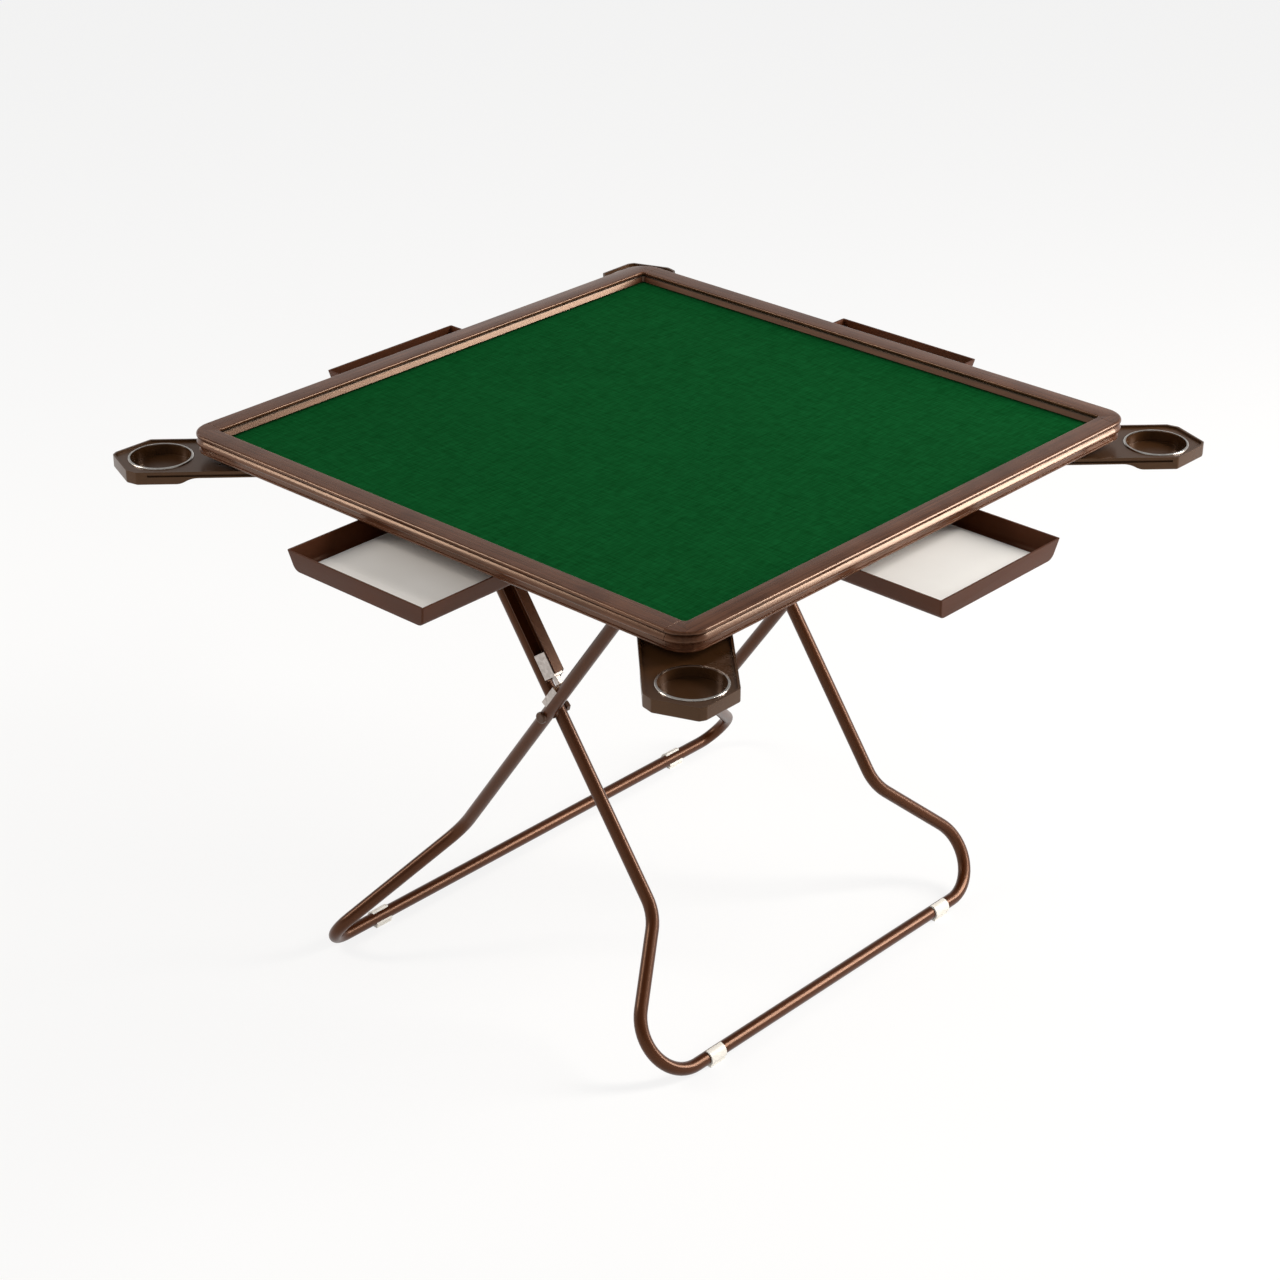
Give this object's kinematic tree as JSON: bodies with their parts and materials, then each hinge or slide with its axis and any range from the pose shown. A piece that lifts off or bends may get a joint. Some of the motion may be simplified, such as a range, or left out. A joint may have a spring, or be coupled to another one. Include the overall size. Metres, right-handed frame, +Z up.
{
  "type": "folding mahjong table",
  "caption": "Square felt-topped folding games table with pull-out drawers, corner cup holders and crossed tube legs that lock open.",
  "frame": {"origin": "on the floor, below the middle of the box round the whole table with its drawers and cup holders drawn out; the middle of the square top is 16 mm towards -X and 9 mm towards +Y of it", "axes": "+Z up, -Y the front side, +X the right side, where the crossed legs fold flat by their outer foot going to -X"},
  "size_m": [1.076, 1.074, 0.74],
  "materials": {
    "rim_moulding": "semi-gloss dark brown moulding",
    "playing_board": "plain fibreboard, unpainted below",
    "felt": "green woven felt",
    "batten_wood": "sawn softwood",
    "bracket_paint": "dark brown enamel",
    "tube_paint": "gloss dark brown enamel",
    "plug_plastic": "matt black-brown",
    "zinc_steel": "zinc plated",
    "nylon": "natural nylon",
    "clip_plastic": "white moulded plastic",
    "drawer_plastic": "reddish brown moulded plastic",
    "drawer_floor": "pale panel",
    "guide_plastic": "dark brown moulded plastic",
    "holder_plastic": "gloss very dark brown plastic",
    "ring_plating": "bright plated"
  },
  "bodies": {
    "table_top": {"cup_guide_back_left": "guide_plastic", "cup_guide_back_right": "guide_plastic", "cup_guide_front_left": "guide_plastic", "cup_guide_front_right": "guide_plastic", "drawer_guide_back": "guide_plastic", "drawer_guide_front": "guide_plastic", "drawer_guide_left": "guide_plastic", "drawer_guide_right": "guide_plastic", "felt": "felt", "hinge_batten": "batten_wood", "hinge_bolts": "zinc_steel", "hinge_bracket_back": "bracket_paint", "hinge_bracket_front": "bracket_paint", "playing_board": "playing_board", "rail_batten_back": "batten_wood", "rail_batten_front": "batten_wood", "rim_back": "rim_moulding", "rim_front": "rim_moulding", "rim_left": "rim_moulding", "rim_right": "rim_moulding", "slide_rail_back": "bracket_paint", "slide_rail_front": "bracket_paint", "underside_screws": "zinc_steel"},
    "cup_holder_back_left": {"cup_holder_back_left": "holder_plastic", "cup_ring_back_left": "ring_plating"},
    "cup_holder_back_right": {"cup_holder_back_right": "holder_plastic", "cup_ring_back_right": "ring_plating"},
    "cup_holder_front_left": {"cup_holder_front_left": "holder_plastic", "cup_ring_front_left": "ring_plating"},
    "cup_holder_front_right": {"cup_holder_front_right": "holder_plastic", "cup_ring_front_right": "ring_plating"},
    "drawer_back": {"drawer_back": "drawer_plastic", "drawer_floor_back": "drawer_floor"},
    "drawer_front": {"drawer_floor_front": "drawer_floor", "drawer_front": "drawer_plastic"},
    "drawer_left": {"drawer_floor_left": "drawer_floor", "drawer_left": "drawer_plastic"},
    "drawer_right": {"drawer_floor_right": "drawer_floor", "drawer_right": "drawer_plastic"},
    "inner_leg": {"foot_clip_inner_back": "clip_plastic", "foot_clip_inner_front": "clip_plastic", "inner_leg_frame": "tube_paint", "inner_leg_plugs": "plug_plastic", "inner_leg_top_bar": "tube_paint", "lock_channel_back": "tube_paint", "lock_channel_front": "tube_paint", "slide_spool_back": "nylon", "slide_spool_front": "nylon"},
    "outer_leg": {"foot_clip_outer_back": "clip_plastic", "foot_clip_outer_front": "clip_plastic", "lock_keeper_back": "zinc_steel", "lock_keeper_front": "zinc_steel", "outer_leg_frame": "tube_paint", "outer_leg_plugs": "plug_plastic", "pivot_bolts": "bracket_paint"},
    "latch_back": {"lock_latch_back": "zinc_steel"},
    "latch_front": {"lock_latch_front": "zinc_steel"}
  },
  "joints": [
    {"name": "leg_fold", "type": "hinge", "parent": "table_top", "child": "outer_leg", "pos_m": [0.17365, 0.009, 0.644], "axis": [0, 1, 0], "range_deg": [0, 55]},
    {"name": "leg_cross", "type": "hinge", "parent": "outer_leg", "child": "inner_leg", "pos_m": [0.014, 0.009, 0.416], "axis": [0, 1, 0], "range_deg": [-110, 0]},
    {"name": "latch_front_slide", "type": "slide", "parent": "inner_leg", "child": "latch_front", "axis": [0.5736, 0, -0.8192], "range_m": [0, 0.01]},
    {"name": "latch_back_slide", "type": "slide", "parent": "inner_leg", "child": "latch_back", "axis": [0.5736, 0, -0.8192], "range_m": [0, 0.01]},
    {"name": "drawer_front_slide", "type": "slide", "parent": "table_top", "child": "drawer_front", "axis": [0, -1, 0], "range_m": [-0.106, 0.019]},
    {"name": "drawer_right_slide", "type": "slide", "parent": "table_top", "child": "drawer_right", "axis": [1, 0, 0], "range_m": [-0.114, 0.011]},
    {"name": "drawer_back_slide", "type": "slide", "parent": "table_top", "child": "drawer_back", "axis": [0, 1, 0], "range_m": [-0.088, 0.037]},
    {"name": "drawer_left_slide", "type": "slide", "parent": "table_top", "child": "drawer_left", "axis": [-1, 0, 0], "range_m": [-0.082, 0.043]},
    {"name": "cup_holder_front_right_slide", "type": "slide", "parent": "table_top", "child": "cup_holder_front_right", "axis": [0.7071, -0.7071, 0], "range_m": [-0.115, 0]},
    {"name": "cup_holder_back_right_slide", "type": "slide", "parent": "table_top", "child": "cup_holder_back_right", "axis": [0.7071, 0.7071, 0], "range_m": [-0.115, 0]},
    {"name": "cup_holder_back_left_slide", "type": "slide", "parent": "table_top", "child": "cup_holder_back_left", "axis": [-0.7071, 0.7071, 0], "range_m": [-0.115, 0]},
    {"name": "cup_holder_front_left_slide", "type": "slide", "parent": "table_top", "child": "cup_holder_front_left", "axis": [-0.7071, -0.7071, 0], "range_m": [-0.115, 0]}
  ],
  "couplings": [
    {"joint": "leg_cross", "follows": "leg_fold", "ratio": -2}
  ]
}
